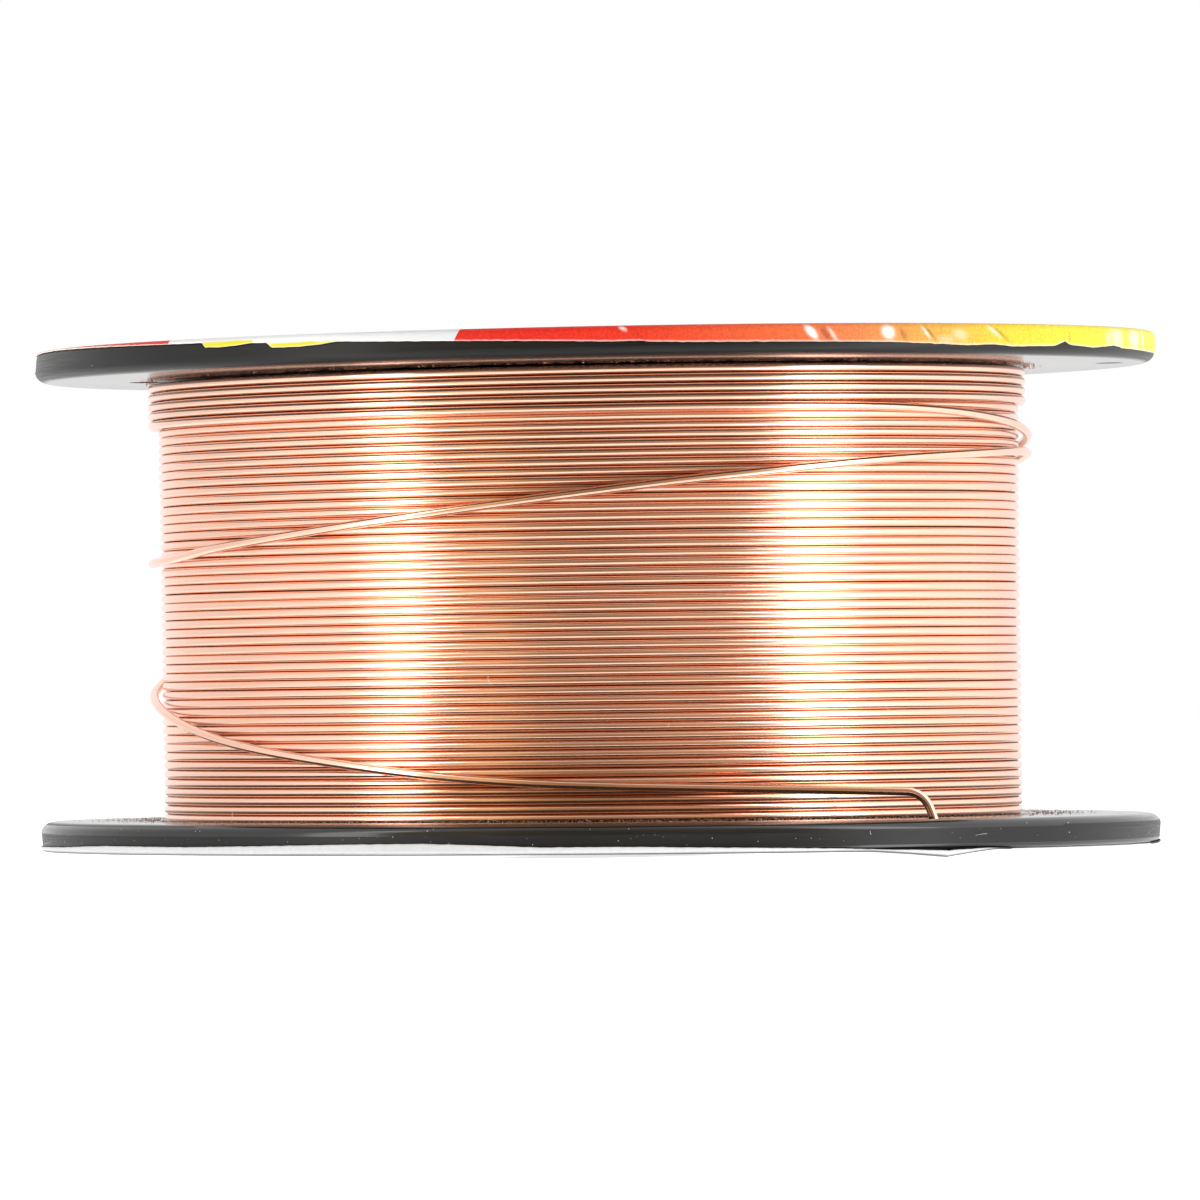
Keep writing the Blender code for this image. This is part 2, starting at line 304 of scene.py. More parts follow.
wireTail = {
    "radius": 38.92,
    "lift": [(74, 0.15), (85, 0.35), (100, 0.12), (130, 0.0), (250, 0.05), (270, 0.22), (290, 0.05),
             (320, 0.0), (430, 0.1), (450, 0.3), (470, 0.1), (500, 0.0), (615, 0.1), (630, 0.22),
             (648, 0.06), (670, 0.03), (730, 0.03)],
    "lowestHeight": 2.7,
    "room": 34.31,
    "route": [
        (74, 1.000), (81, 0.985), (95, 0.958), (120, 0.912), (150, 0.866), (180, 0.821),
        (210, 0.771), (235, 0.725), (255, 0.690), (270, 0.676), (283, 0.679), (293, 0.688),
        (301, 0.703), (316, 0.730), (336, 0.773), (361, 0.830), (374, 0.858), (388, 0.883),
        (404, 0.906), (429, 0.926), (443, 0.930), (457, 0.920), (480, 0.874), (510, 0.788),
        (540, 0.693), (570, 0.589), (600, 0.462), (619, 0.369), (630, 0.331), (641, 0.294),
        (652, 0.253), (666, 0.203), (683, 0.156), (699, 0.118), (712, 0.098), (724, 0.088),
    ],
    "endShare": 0.067,
    "holeRadius": 46.0,
    "holeAngle": 39.3,
    "hookRadius": 2.2,
    "lean": 20.0,                # of the wire where it goes down through the flange
    "flangeMiddle": 1.5,
    "tipHeight": -0.15,
    "step": 3.0,
}


def tailPoints():
    sideways = coil["sideways"]
    first = wireTail["route"][0][0]
    last = wireTail["route"][-1][0]
    count = round((last - first) / wireTail["step"])
    points = []
    for index in range(count + 1):
        degrees = first + (last - first) * index / count
        height = wireTail["lowestHeight"] + readCurve(wireTail["route"], degrees) * wireTail["room"]
        radius = wireTail["radius"] + readTable(wireTail["lift"], degrees)
        points.append(around(radius, degrees, height, sideways))
    endHeight = wireTail["lowestHeight"] + wireTail["endShare"] * wireTail["room"]
    hole = around(wireTail["holeRadius"], wireTail["holeAngle"], endHeight)
    fromCoil = hole - Vector((sideways, 0.0, endHeight))
    leaveAngle = (math.degrees(math.atan2(fromCoil.x, -fromCoil.y))
                  - math.degrees(math.acos(wireTail["radius"] / fromCoil.length)))
    leave = around(wireTail["radius"], leaveAngle, endHeight, sideways)
    run = (hole - leave).length
    step = (leave - points[-1]).xy.length
    leave.z += (points[-1].z - endHeight) * run / (run + step)
    if step > 1.0:
        points.append(leave)
    along = (hole - leave).normalized()
    down = Vector((0.0, 0.0, -1.0))
    bend = wireTail["hookRadius"]
    lean = math.radians(wireTail["lean"])
    overHole = endHeight - bend * (1 - math.sin(lean)) - wireTail["flangeMiddle"]
    centre = hole - along * (bend * math.cos(lean) + overHole * math.tan(lean)) + down * bend
    straight = centre + -down * bend - points[-1]
    for quarter in range(3):
        points.append(points[-1] + straight * 0.25)
    for index in range(11):
        turn = (math.pi / 2 - lean) * index / 10
        points.append(centre + along * bend * math.sin(turn) - down * bend * math.cos(turn))
    tip = hole + along * (wireTail["flangeMiddle"] - wireTail["tipHeight"]) * math.tan(lean)
    points.append(Vector((tip.x, tip.y, wireTail["tipHeight"])))
    return points


tailPath = tailPoints()
tail = placePiece("looseTail", tubeMesh("looseTail", tailPath, coil["wire"], "MINIMUM", 6),
                  copperCoatedSteel)
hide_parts("wire_tail")


def woundHeight(heights, turns):
    # each turn lies level in front and climbs to the next one behind
    nearest = math.floor(turns + 0.5)
    blend = smooth((turns - nearest + coil["stepShare"]) / (2 * coil["stepShare"]))
    below = heights[min(max(nearest - 1, 0), len(heights) - 1)]
    above = heights[min(max(nearest, 0), len(heights) - 1)]
    return below + (above - below) * blend


def tiltHeight(point):
    return Vector((point.x, point.y, point.z + coil["tilt"] * (point.x - coil["tiltedFrom"])))


def unevenness(turns, seed, amount):
    return amount * noise.noise(Vector((turns * 1.7, seed, 0.0)))


def fullLayerPoints():
    chance = random.Random(4)
    heights = [coil["lowest"] + coil["pitch"] * turn + chance.uniform(-1, 1) * coil["unevenHeight"]
               for turn in range(coil["turns"])]
    first = coil["stepShare"]
    last = coil["turns"] - coil["stepShare"]
    count = round((last - first) * coil["pointsPerTurn"])
    points = []
    for index in range(count + 1):
        turns = first + (last - first) * index / count
        swelling = smooth((turns - coil["swellFrom"]) / (coil["turns"] - coil["swellFrom"]))
        radius = coil["radius"] + coil["swell"] * swelling + unevenness(turns, 3.3, coil["unevenRadius"])
        height = woundHeight(heights, turns) + unevenness(turns * 1.3, 7.7, 0.01)
        points.append(tiltHeight(around(radius, 180 + 360 * turns, height, coil["sideways"])))
    return points


fullLayer = placePiece("fullLayer", tubeMesh("fullLayer", fullLayerPoints(), coil["wire"]),
                       copperCoatedSteel)


def lastLayerPoints():
    start = -360 * 4.5
    end = wireTail["route"][0][0]
    count = round((end - start) / 360 * coil["pointsPerTurn"])
    endRadius = wireTail["radius"] + readTable(wireTail["lift"], end)
    points = []
    for index in range(count + 1):
        degrees = start + (end - start) * index / count
        turns = (degrees - start) / 360
        if degrees > leadRoute[0][0]:
            share = smooth((degrees - leadRoute[0][0]) / 60)
            height = readCurve(leadRoute, degrees)
            height = height * share + woundHeight(coil["lastHeights"], turns) * (1 - share)
        else:
            height = woundHeight(coil["lastHeights"], turns)
        ending = smooth((degrees - 30) / (end - 30))
        radius = coil["lastRadius"] + (endRadius - coil["lastRadius"]) * ending
        radius += unevenness(turns, 1.1, coil["unevenRadius"]) * (1 - ending)
        height += unevenness(turns, 5.5, coil["unevenHeight"]) * (1 - ending)
        sideways = coil["lastSideways"] + (coil["sideways"] - coil["lastSideways"]) * ending
        point = around(radius, degrees, height, sideways)
        points.append(tiltHeight(point).lerp(point, ending))
    return points


lastLayer = placePiece("lastLayer", tubeMesh("lastLayer", lastLayerPoints(), coil["wire"]),
                       copperCoatedSteel)


# The layers below are one ring that only shows as the dark between the last turn and the flange.
coilCore = {
    "radius": 37.75,
    "bore": 18.3,
    "bottom": 2.95,
    "top": 42.05,
    "grooves": 50,
    "grooveDepth": 0.36,
}


def makeCoilCore():
    outline = [(coilCore["bore"], coilCore["top"]), (coilCore["bore"], coilCore["bottom"])]
    pitch = (coilCore["top"] - coilCore["bottom"]) / coilCore["grooves"]
    for turn in range(coilCore["grooves"]):
        for share, depth in ((0.0, coilCore["grooveDepth"]), (0.2, 0.12), (0.5, 0.0), (0.8, 0.12)):
            outline.append((coilCore["radius"] - depth, coilCore["bottom"] + pitch * (turn + share)))
    outline.append((coilCore["radius"] - coilCore["grooveDepth"], coilCore["top"]))
    shape = spinOutline(outline, 96)
    bmesh.ops.recalc_face_normals(shape, faces=shape.faces)
    bmesh.ops.translate(shape, verts=shape.verts, vec=(coil["sideways"], 0.0, 0.0))
    return meshOf("layersBelow", shape)


def makeMottledMaterial(name, first, second, patch=0.5, spread=0.12, roughness=0.8, metallic=0.0):
    material, tree = newMaterial(name)
    place = addNode(tree, "ShaderNodeTexCoord").outputs["Object"]
    mottling = addNode(tree, "ShaderNodeTexNoise",
        {"Vector": place, "Scale": 1 / (patch * mm), "Detail": 2.0})
    tone = addNode(tree, "ShaderNodeValToRGB", {0: mottling})
    setStops(tone, [(0.5 - spread, first), (0.5 + spread, second)])
    surface = addNode(tree, "ShaderNodeBsdfPrincipled",
        {"Base Color": tone, "Metallic": metallic, "Roughness": roughness})
    addNode(tree, "ShaderNodeOutputMaterial", {0: surface})
    return material


# The same wire in the shade of the layers over it, so only its colour shows; its darker colours are painted
# shade.
shadedWire = makeMottledMaterial("copperCoatedSteelLayersBelow", "#A86A48", "#D9986F", 3.3333, 0.2, 0.35, 1.0)
layersBelow = placePiece("layersBelow", makeCoilCore(), shadedWire)
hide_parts("wire_windings")
print("windings made")

for slot in bpy.data.objects["wire_start"].material_slots:
    slot.material = shadedWire


# Black polystyrene, injection moulded: a satin skin with a faint grain, a parting line round
# each rim, and paler rubbed lines along the rims.
plasticFinish = {
    "black": "#151414",
    "greyed": "#201F1E",
    "roughness": 0.36,
    "faceRoughness": 0.12,       # the flanges' faces are polished
    "rubbedRoughness": 0.15,     # where the lower rim is rubbed smooth
    "gloss": 0.22,
    "rubbedGloss": 0.46,
    "grainSize": 0.25,
    "grainDepth": 0.002,
    "scuffHeight": 0.12,
    "scuffLength": 9.0,
    "rimRadius": 50.0,
    "dust": "#B08C74",
    "dustSize": 0.16,
    "dustFrom": 30.0,            # radius
    "dustNear": (38.5, 0.75),    # radius and cover where the dust is thickest
    "dustFar": (45.0, 0.22),
}


def makePlasticMaterial(name, roughness, gloss):
    material, tree = newMaterial(name)
    place = addNode(tree, "ShaderNodeTexCoord").outputs["Object"]
    grain = addNode(tree, "ShaderNodeTexNoise",
        {"Vector": place, "Scale": 1 / (plasticFinish["grainSize"] * mm), "Detail": 3.0})
    height, angle = angleRound(tree, place)
    roundRim = addNode(tree, "ShaderNodeMath",
        {0: angle, 1: plasticFinish["rimRadius"] / plasticFinish["scuffLength"]}, operation="MULTIPLY")
    level = addNode(tree, "ShaderNodeMath",
        {0: height, 1: 1 / (plasticFinish["scuffHeight"] * mm)}, operation="MULTIPLY")
    scuffPlace = addNode(tree, "ShaderNodeCombineXYZ", {0: roundRim, 1: level})
    scuffs = addNode(tree, "ShaderNodeTexNoise",
        {"Vector": scuffPlace, "Scale": 1.0, "Detail": 4.0, "Roughness": 0.62})
    scuffed = addNode(tree, "ShaderNodeMapRange",
        {"Value": scuffs, "From Min": 0.48, "From Max": 0.75, "To Max": 1.0})
    geometry = addNode(tree, "ShaderNodeNewGeometry")
    facing = addNode(tree, "ShaderNodeSeparateXYZ", {0: geometry.outputs["Normal"]})
    upward = addNode(tree, "ShaderNodeMath", {0: facing.outputs[2]}, operation="ABSOLUTE")
    onFace = addNode(tree, "ShaderNodeMapRange", {"Value": upward, "From Min": 0.9, "From Max": 0.995})
    flat = addNode(tree, "ShaderNodeVectorMath", {0: place, 1: (1.0, 1.0, 0.0)}, operation="MULTIPLY")
    fromAxis = addNode(tree, "ShaderNodeVectorMath", {0: flat}, operation="LENGTH")
    (nearest, thickest), (farthest, thinnest) = plasticFinish["dustNear"], plasticFinish["dustFar"]
    cover = addNode(tree, "ShaderNodeMapRange",
        {"Value": fromAxis.outputs[1], "From Min": nearest * mm, "From Max": farthest * mm,
         "To Min": thickest, "To Max": thinnest})
    offHub = addNode(tree, "ShaderNodeMath",
        {0: fromAxis.outputs[1], 1: plasticFinish["dustFrom"] * mm}, operation="GREATER_THAN")
    covered = addNode(tree, "ShaderNodeMath", {0: cover, 1: offHub}, operation="MULTIPLY")
    specks = addNode(tree, "ShaderNodeTexNoise",
        {"Vector": place, "Scale": 1 / (plasticFinish["dustSize"] * mm), "Detail": 2.0})
    dusty = addNode(tree, "ShaderNodeMapRange", {"Value": specks, "From Min": 0.55, "From Max": 0.63})
    dustFace = addNode(tree, "ShaderNodeMath", {0: dusty, 1: onFace}, operation="MULTIPLY")
    dustHere = addNode(tree, "ShaderNodeMath", {0: dustFace, 1: covered}, operation="MULTIPLY")
    skin = addNode(tree, "ShaderNodeMix",
        {0: scuffed, 6: linearColour(plasticFinish["black"]), 7: linearColour(plasticFinish["greyed"])},
        data_type="RGBA")
    colour = addNode(tree, "ShaderNodeMix",
        {0: dustHere, 6: skin.outputs[2], 7: linearColour(plasticFinish["dust"])}, data_type="RGBA")
    rough = addNode(tree, "ShaderNodeMapRange",
        {"Value": scuffs, "From Min": 0.3, "From Max": 0.7, "To Min": roughness - 0.06,
         "To Max": roughness + 0.1})
    polished = addNode(tree, "ShaderNodeMix",
        {0: onFace, 2: rough, 3: plasticFinish["faceRoughness"]}, data_type="FLOAT")
    bump = addNode(tree, "ShaderNodeBump",
        {"Height": grain, "Strength": 0.5, "Distance": plasticFinish["grainDepth"] * mm})
    surface = addNode(tree, "ShaderNodeBsdfPrincipled",
        {"Base Color": colour.outputs[2], "Roughness": polished, "IOR": 1.55, "Specular IOR Level": gloss,
         "Normal": bump})
    addNode(tree, "ShaderNodeOutputMaterial", {0: surface})
    return material


blackPolystyrene = makePlasticMaterial("blackPolystyreneMoulded", plasticFinish["roughness"],
                                       plasticFinish["gloss"])
rubbedPolystyrene = makePlasticMaterial("blackPolystyreneRubbed", plasticFinish["rubbedRoughness"],
                                        plasticFinish["rubbedGloss"])

spoolHalf = {
    "flangeRadius": 50.0,
    "outerFace": 0.14,
    "innerFace": 2.7,
    "boreRadius": 8.25,
    "hubRadius": 10.25,
    "barrelRadius": 18.0,
    "barrelInside": 15.8,
    "joint": 22.35,
    "lip": (1.3, 0.95),
    "edge": 0.45,
    "draft": 0.10,
    "partingRidge": 0.014,
    "steps": 256,
    "tailHole": (1.25, 46.0),
    "spareHole": (1.7, 40.0),
    "spareTurn": 185.0,
    "upperHoleAngle": 85.0,
    "flashAngle": -88.0,
    "rubbedOutside": 48.6,       # radius outside which the lower rim is rubbed,
    "rubbedAbove": 1.8,          # above this height
    "rubbedBelow": 0.55,         # or below this one
}


def ovalArc(centre, radii, start, end, steps):
    points = []
    for index in range(steps + 1):
        angle = math.radians(start + (end - start) * index / steps)
        points.append((centre[0] + radii[0] * math.cos(angle), centre[1] + radii[1] * math.sin(angle)))
    return points


def makeSpoolHalf(name, tailAngle, standsOnTop):
    size = spoolHalf
    rim = size["flangeRadius"]
    parting = size["innerFace"] - size["lip"][1]
    ridge = size["partingRidge"]
    outline = [
        (size["barrelRadius"], size["joint"]),
        (size["barrelRadius"], size["innerFace"] + 0.3),
        (size["barrelRadius"] + 0.3, size["innerFace"]),
        *ovalArc((rim - size["lip"][0], parting + 0.06), (size["lip"][0], size["lip"][1] - 0.06), 90, 0, 10),
        (rim + ridge, parting + 0.02),
        (rim + ridge, parting - 0.02),
        (rim - 0.004, parting - 0.07),
        *ovalArc((rim - size["draft"] - size["edge"], size["outerFace"] + size["edge"]),
                 (size["edge"], size["edge"]), 0, -90, 4),
        (size["hubRadius"], size["outerFace"]),
        (size["hubRadius"], 0.15),
        (size["hubRadius"] - 0.15, 0.0),
        (size["boreRadius"] + 0.3, 0.0),
        (size["boreRadius"], 0.3),
        (size["boreRadius"], size["joint"]),
        (size["hubRadius"], size["joint"]),
        (size["hubRadius"], size["innerFace"]),
        (size["barrelInside"], size["innerFace"]),
        (size["barrelInside"], size["joint"]),
    ]
    shape = spinOutline(outline, size["steps"])
    # a spot of flash stands out of the parting line
    for vertex in shape.verts:
        radius = math.hypot(vertex.co.x, vertex.co.y)
        if radius > rim + ridge * 0.5:
            degrees = math.degrees(math.atan2(vertex.co.x, -vertex.co.y))
            off = (degrees - size["flashAngle"]) / 2.0
            grow = 0.05 * math.exp(-off * off)
            grow += 0.02 * noise.noise(Vector((degrees / 3, 9.0, float(standsOnTop))))
            vertex.co.x *= 1 + grow / radius
            vertex.co.y *= 1 + grow / radius
    if standsOnTop:
        for vertex in shape.verts:
            vertex.co.z = spoolWidth - vertex.co.z
    bmesh.ops.recalc_face_normals(shape, faces=shape.faces)
    mesh = meshOf(name, shape, 32)

    cutters = bmesh.new()
    middle = wireTail["flangeMiddle"]
    middle = spoolWidth - middle if standsOnTop else middle
    spare = -1 if standsOnTop else 1
    for (holeRadius, fromAxis), degrees in ((size["tailHole"], tailAngle),
                                            (size["spareHole"], tailAngle - spare * size["spareTurn"])):
        bmesh.ops.create_cone(cutters, cap_ends=True, segments=40, radius1=holeRadius, radius2=holeRadius,
                              depth=8.0, matrix=Matrix.Translation(around(fromAxis, degrees, middle)))
    cutterMesh = bpy.data.meshes.new(name + "Holes")
    cutters.to_mesh(cutterMesh)
    cutters.free()
    cutter = bpy.data.objects.new(name + "Holes", cutterMesh)
    body = bpy.data.objects.new(name + "Body", mesh)
    world.collection.objects.link(cutter)
    world.collection.objects.link(body)
    cut = body.modifiers.new("holes", "BOOLEAN")
    cut.object = cutter
    cut.operation = "DIFFERENCE"
    cut.solver = "EXACT"
    ready = body.evaluated_get(bpy.context.evaluated_depsgraph_get())
    finished = bpy.data.meshes.new_from_object(ready)
    finished.name = name
    bpy.data.objects.remove(body)
    bpy.data.objects.remove(cutter)
    finished.set_sharp_from_angle(angle=math.radians(32))
    return finished


lowerHalf = placePiece("lowerHalf", makeSpoolHalf("lowerHalf", wireTail["holeAngle"], False),
                       blackPolystyrene)
lowerHalf.data.materials.append(rubbedPolystyrene)
for face in lowerHalf.data.polygons:
    height = face.center.z / mm
    onRim = face.center.xy.length / mm > spoolHalf["rubbedOutside"] and height < spoolHalf["innerFace"] - 0.03
    if onRim and (height > spoolHalf["rubbedAbove"] or height < spoolHalf["rubbedBelow"]):
        face.material_index = 1
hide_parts("lower_spool_half")
upperHalf = placePiece("upperHalf", makeSpoolHalf("upperHalf", spoolHalf["upperHoleAngle"], True),
                       blackPolystyrene)
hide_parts("upper_spool_half")
print("spool halves made")


# Coated label paper, printed and gummed on: smooth with a soft gloss, cockled where it is
# pressed down over the rim, with the white paper showing at its cut edge, and creases whitened by wear and a
# painted highlight, with painted shade beside them.
paperShape = {
    "innerRadius": 10.75,
    "foldRadius": 0.45,
    "rimRadius": 50.09,
    "thickness": 0.11,
    "steps": 1440,
    "flatRadius": 49.3,
    "skirtRows": 11,
    "raggedness": 0.035,
    "printDot": 0.2,
    "cockleSize": 1.6,
    "cockleDepth": 0.03,
    "fibreSize": 0.3,
    "fibreDepth": 0.01,
}


def makeLabel(name, faceHeight, side, skirt, creases, dent=None, band=None):
    # side is 1 for a label whose edge is folded down and -1 for one folded up
    size = paperShape
    flatEnd = size["flatRadius"]
    rings = [size["innerRadius"], 11.2, 16.0, 22.0, 28.0, 33.0, 37.0, 40.0, 42.0, 44.0, 45.0, 46.0, 47.0,
             48.0, 48.8, flatEnd]
    rings += [flatEnd + (index + 1) / size["skirtRows"] for index in range(size["skirtRows"])]
    # a flat sheet is rolled round the axis, one row for each ring, and closed behind
    shape = bmesh.new()
    bmesh.ops.create_grid(shape, x_segments=size["steps"], y_segments=len(rings) - 1, size=1.0)
    wearAndLightKey = shape.verts.layers.float.new("wearAndPaintedLight")
    bandKey = shape.verts.layers.float.new("band")
    fold = size["foldRadius"]
    cornerRadius = size["rimRadius"] - fold
    for vertex in shape.verts:
        flatRadius = rings[round((vertex.co.y + 1) / 2 * (len(rings) - 1))]
        degrees = vertex.co.x * 180.0
        share = max(flatRadius - flatEnd, 0.0)
        wearAndPaintedLight = 0.0
        drop = 0.0
        radius = flatRadius
        if share > 0:
            length = readTable(skirt, degrees)
            length += size["raggedness"] * noise.noise(Vector((degrees * 1.1, side * 5.0, 0.0)))
            if length < 0.02:
                alongPaper = share * (cornerRadius - flatEnd + length)
            elif length < fold:
                sweep = math.acos(1 - length / fold)
                alongPaper = share * (cornerRadius - flatEnd + fold * sweep)
            else:
                alongPaper = share * (cornerRadius - flatEnd + fold * math.pi / 2 + length - fold)
            alongPaper -= cornerRadius - flatEnd
            if alongPaper <= 0:
                radius = cornerRadius + alongPaper
            elif alongPaper < fold * math.pi / 2:
                radius = cornerRadius + fold * math.sin(alongPaper / fold)
                drop = fold * (1 - math.cos(alongPaper / fold))
            else:
                radius = size["rimRadius"]
                drop = fold + alongPaper - fold * math.pi / 2
            radius += 0.03 * share * noise.noise(Vector((degrees / 1.6, drop * 1.2, side * 3.0)))
        # each crease bulges the paper and marks wear and a painted highlight on the print, or painted shade
        # where its value is below 0
        for centre, width, rise, slant, wearAndLightOnCrease, middle, reach in creases:
            off = (degrees - centre - slant * drop) / width
            if abs(off) < 3 and share > 0:
                down = (drop - middle) / reach
                hold = smooth((share - 0.22) * 4)
                radius += rise * math.exp(-off * off) * hold
                marked = wearAndLightOnCrease * math.exp(-(off * off + down * down) ** 2) * hold
                wearAndPaintedLight = marked if abs(marked) > abs(wearAndPaintedLight) else wearAndPaintedLight
        if share > 0.99:
            wearAndPaintedLight = 0.45 + 0.3 * noise.noise(Vector((degrees * 2.3, side * 9.0, 0.0)))
        bandValue = 0.0
        if band and share > 0:
            for start, end, depth in band:
                if start < degrees < end:
                    bandValue = smooth((drop - depth) / 0.06 + 0.5)
        height = faceHeight - side * drop
        # on a label folded up, the band marks the fold's corner, where a dark grey is painted as shade
        if side < 0:
            bandValue = 1 - smooth((drop - 0.10) / 0.12) if drop > 0.001 else 0.0
        if dent:
            here = around(radius, degrees, 0.0)
            centre = around(dent["radius"], dent["angle"], 0.0)
            outward = centre.normalized()
            sideDirection = Vector((-outward.y, outward.x, 0.0))
            toSide = (here - centre).dot(sideDirection)
            toRim = (here - centre).dot(outward)
            reach = dent["reachRight"] if toSide > 0 else dent["reachLeft"]
            falloff = max(0.0, 1 - abs(toSide) / reach) ** dent["power"]
            inward = smooth((toRim + dent["reachInward"]) / dent["reachInward"]) if toRim < 0 else 1.0
            height += side * dent["depth"] * falloff * inward
        vertex.co = around(radius, degrees, height)
        vertex[wearAndLightKey] = wearAndPaintedLight
        vertex[bandKey] = bandValue
    bmesh.ops.remove_doubles(shape, verts=shape.verts, dist=0.001)
    bmesh.ops.recalc_face_normals(shape, faces=shape.faces)
    if sum(face.normal.z for face in shape.faces) * side < 0:
        bmesh.ops.reverse_faces(shape, faces=shape.faces)
    return meshOf(name, shape)


# Degrees round the rim and how far the paper comes down over it
upperSkirt = [
    (-180, 1.30), (-150, 1.55), (-120, 0.9), (-100, 0.20), (-71.5, 0.04), (-60.5, 0.15), (-53.6, 0.25),
    (-47.1, 0.34), (-44.7, 0.37), (-42.5, 0.37), (-42.1, 0.80), (-40.1, 0.84), (-38.1, 0.76), (-36.2, 0.60),
    (-35.0, 0.61), (-34.2, 0.63), (-33.6, 1.06), (-32.0, 1.08), (-30.2, 1.07), (-28.1, 0.95), (-26.0, 0.74),
    (-24.1, 0.80), (-22.0, 0.85), (-17.3, 0.94), (-14.2, 1.00), (-5.3, 1.18), (2.0, 1.36), (4.4, 1.30),
    (5.4, 1.42), (9.8, 1.50), (26.3, 1.60), (30.8, 1.64), (35.0, 1.75), (40.0, 1.90), (43.4, 1.80),
    (44.4, 1.86), (46.3, 1.97), (52.7, 1.87), (54.1, 1.60), (54.9, 1.42), (55.4, 1.68), (56.4, 1.77),
    (60.5, 1.91), (65.3, 1.66), (68.1, 1.85), (78, 1.95), (90, 1.9), (120, 1.7), (150, 1.45), (180, 1.30),
]
# Creases over the rim: degrees, width in degrees, rise, slant in degrees per millimetre, how far
# the print is whitened by wear and a painted highlight (painted shade where below 0), and the middle and
# reach of that down the rim
upperCreases = [
    (2.5, 0.30, 0.04, 1.0, 0.9, 0.22, 0.25), (3.4, 0.22, 0.05, 1.1, -0.3, 0.9, 0.8),
    (21.1, 0.50, 0.08, 0.75, 1.0, 0.74, 0.62), (22.5, 0.34, -0.06, 0.75, -0.75, 0.9, 0.6),
    (23.2, 0.25, 0.03, 0.8, 0.5, 1.0, 0.7),
    (30.0, 0.74, 0.08, 0.15, 0.95, 0.78, 0.62), (31.3, 0.32, -0.06, 0.6, -0.75, 1.0, 0.5),
    (33.8, 0.20, 0.05, 1.0, 0.75, 0.8, 0.6), (34.3, 0.20, -0.05, 1.0, -0.9, 0.9, 0.6),
    (36.5, 1.2, 0.03, 0.4, 0.25, 1.4, 0.3), (38.5, 1.0, 0.02, 0.4, 0.30, 1.0, 0.5),
    (42.2, 0.32, 0.07, 1.8, 0.7, 0.6, 0.6), (42.9, 0.28, -0.06, 1.8, -0.8, 0.9, 0.7),
    (55.3, 0.20, 0.08, 0.2, -0.7, 1.2, 0.5), (63.0, 0.50, 0.05, 0.6, 0.40, 1.1, 0.6),
    (65.8, 1.7, 0.05, 0.3, 0.50, 0.9, 1.0), (71.4, 1.9, 0.06, 0.1, 0.55, 0.9, 1.1),
    (75.0, 0.6, 0.05, 0.1, 0.60, 0.9, 1.1), (104, 0.5, 0.06, 0.5, 0.8, 0.9, 0.8),
    (131, 0.6, 0.07, -0.6, 0.8, 0.8, 0.7), (165, 0.5, 0.06, 0.4, 0.7, 0.9, 0.7),
    (-160, 0.6, 0.07, 0.5, 0.8, 0.9, 0.7),
]
# Where the paper's lower edge is yellow: degrees from and to, and how far down it starts
upperBand = [(-42.3, -35.8, 0.33), (-34.1, -25.6, 0.68)]

# Degrees and colour of the print, the same from the middle to the rim, with one white panel
printStops = [
    (-180, "#F4814F"), (-130, "#EF5335"), (-95, "#EC3227"), (-5, "#EB3022"), (3.9, "#EC3A25"),
    (9.8, "#EF5230"), (20, "#F0703C"), (26, "#F28348"), (31, "#F49C46"), (38, "#F8BD42"), (46, "#FDDB3A"),
    (55, "#FEE83B"), (95, "#FEE83B"), (140, "#FFCB3E"), (180, "#F4814F"),
]
whitePanel = {
    "from": -47.4,
    "to": -13.2,
    "slant": 0.6,                # degrees for each millimetre down the rim
    "white": "#F0F1F1",
    "grey": "#D8DDDF",
    "greyFrom": -30.0,
}


